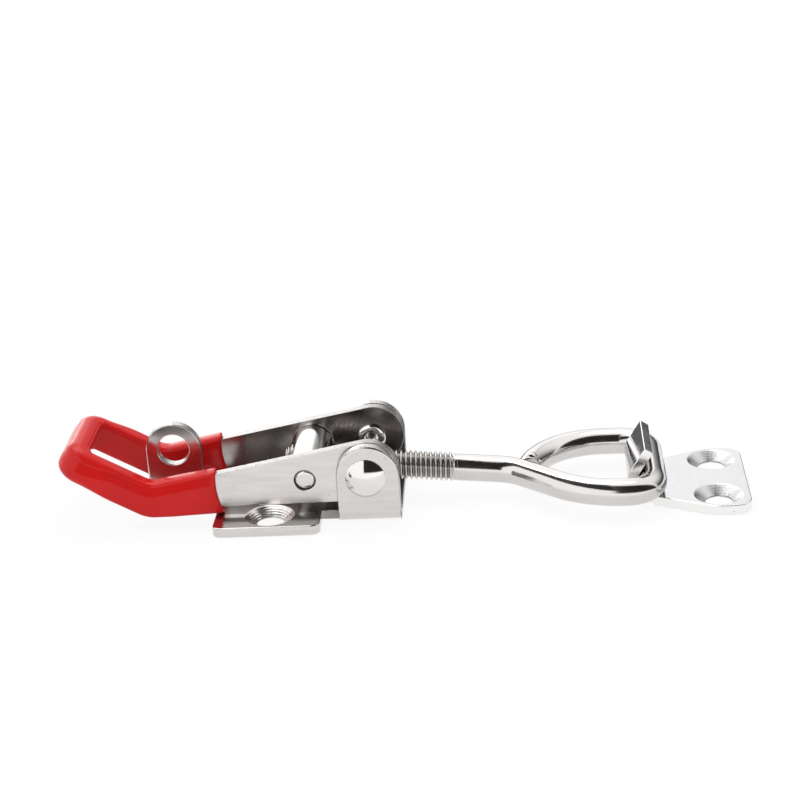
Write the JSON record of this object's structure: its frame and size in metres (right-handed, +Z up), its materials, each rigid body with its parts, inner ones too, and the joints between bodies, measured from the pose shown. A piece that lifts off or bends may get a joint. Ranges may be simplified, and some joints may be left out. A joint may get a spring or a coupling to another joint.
{
  "type": "over-centre toggle latch",
  "caption": "Adjustable over-centre toggle latch with padlock eye, loop hook and separate strike plate; a dipped lever draws two panels together.",
  "frame": {"origin": "on the mounting plane, midway between the two screw holes of the base plate", "axes": "+X along the latch from the grip towards the strike plate, +Y across it, +Z up out of the mounting plane"},
  "size_m": [0.138, 0.0336, 0.0181],
  "materials": {
    "plated_sheet": "bright plated sheet with sheared edges",
    "bright_rod": "polished, bright plated",
    "rivet_steel": "bright plated rivet",
    "red_dip": "glossy red dipped vinyl"
  },
  "bodies": {
    "base": {"base_plate": "plated_sheet", "pivot_rivet_near": "rivet_steel", "pivot_rivet_far": "rivet_steel"},
    "handle": {"handle_lever": "plated_sheet", "handle_grip": "red_dip"},
    "barrel": {"trunnion_barrel": "bright_rod"},
    "hook": {"hook_bolt": "bright_rod"},
    "strike": {"strike_plate": "plated_sheet"}
  },
  "joints": [
    {"name": "handle_pivot", "type": "hinge", "parent": "base", "child": "handle", "pos_m": [0.0197, 0, 0.0098], "axis": [0, 1, 0], "range_deg": [0, 146]},
    {"name": "trunnion_pivot", "type": "hinge", "parent": "handle", "child": "barrel", "pos_m": [0.0074, 0, 0.0088], "axis": [0, 1, 0], "range_deg": [-146, 0]},
    {"name": "length_adjust", "type": "slide", "parent": "barrel", "child": "hook", "axis": [0.9957, 0, -0.0923], "range_m": [-0.01, 0.003]},
    {"name": "strike_unhook", "type": "slide", "parent": "hook", "child": "strike", "axis": [-0.5402, 0, -0.8415], "range_m": [0, 0.014]}
  ],
  "couplings": [
    {"joint": "trunnion_pivot", "follows": "handle_pivot", "ratio": -1}
  ]
}
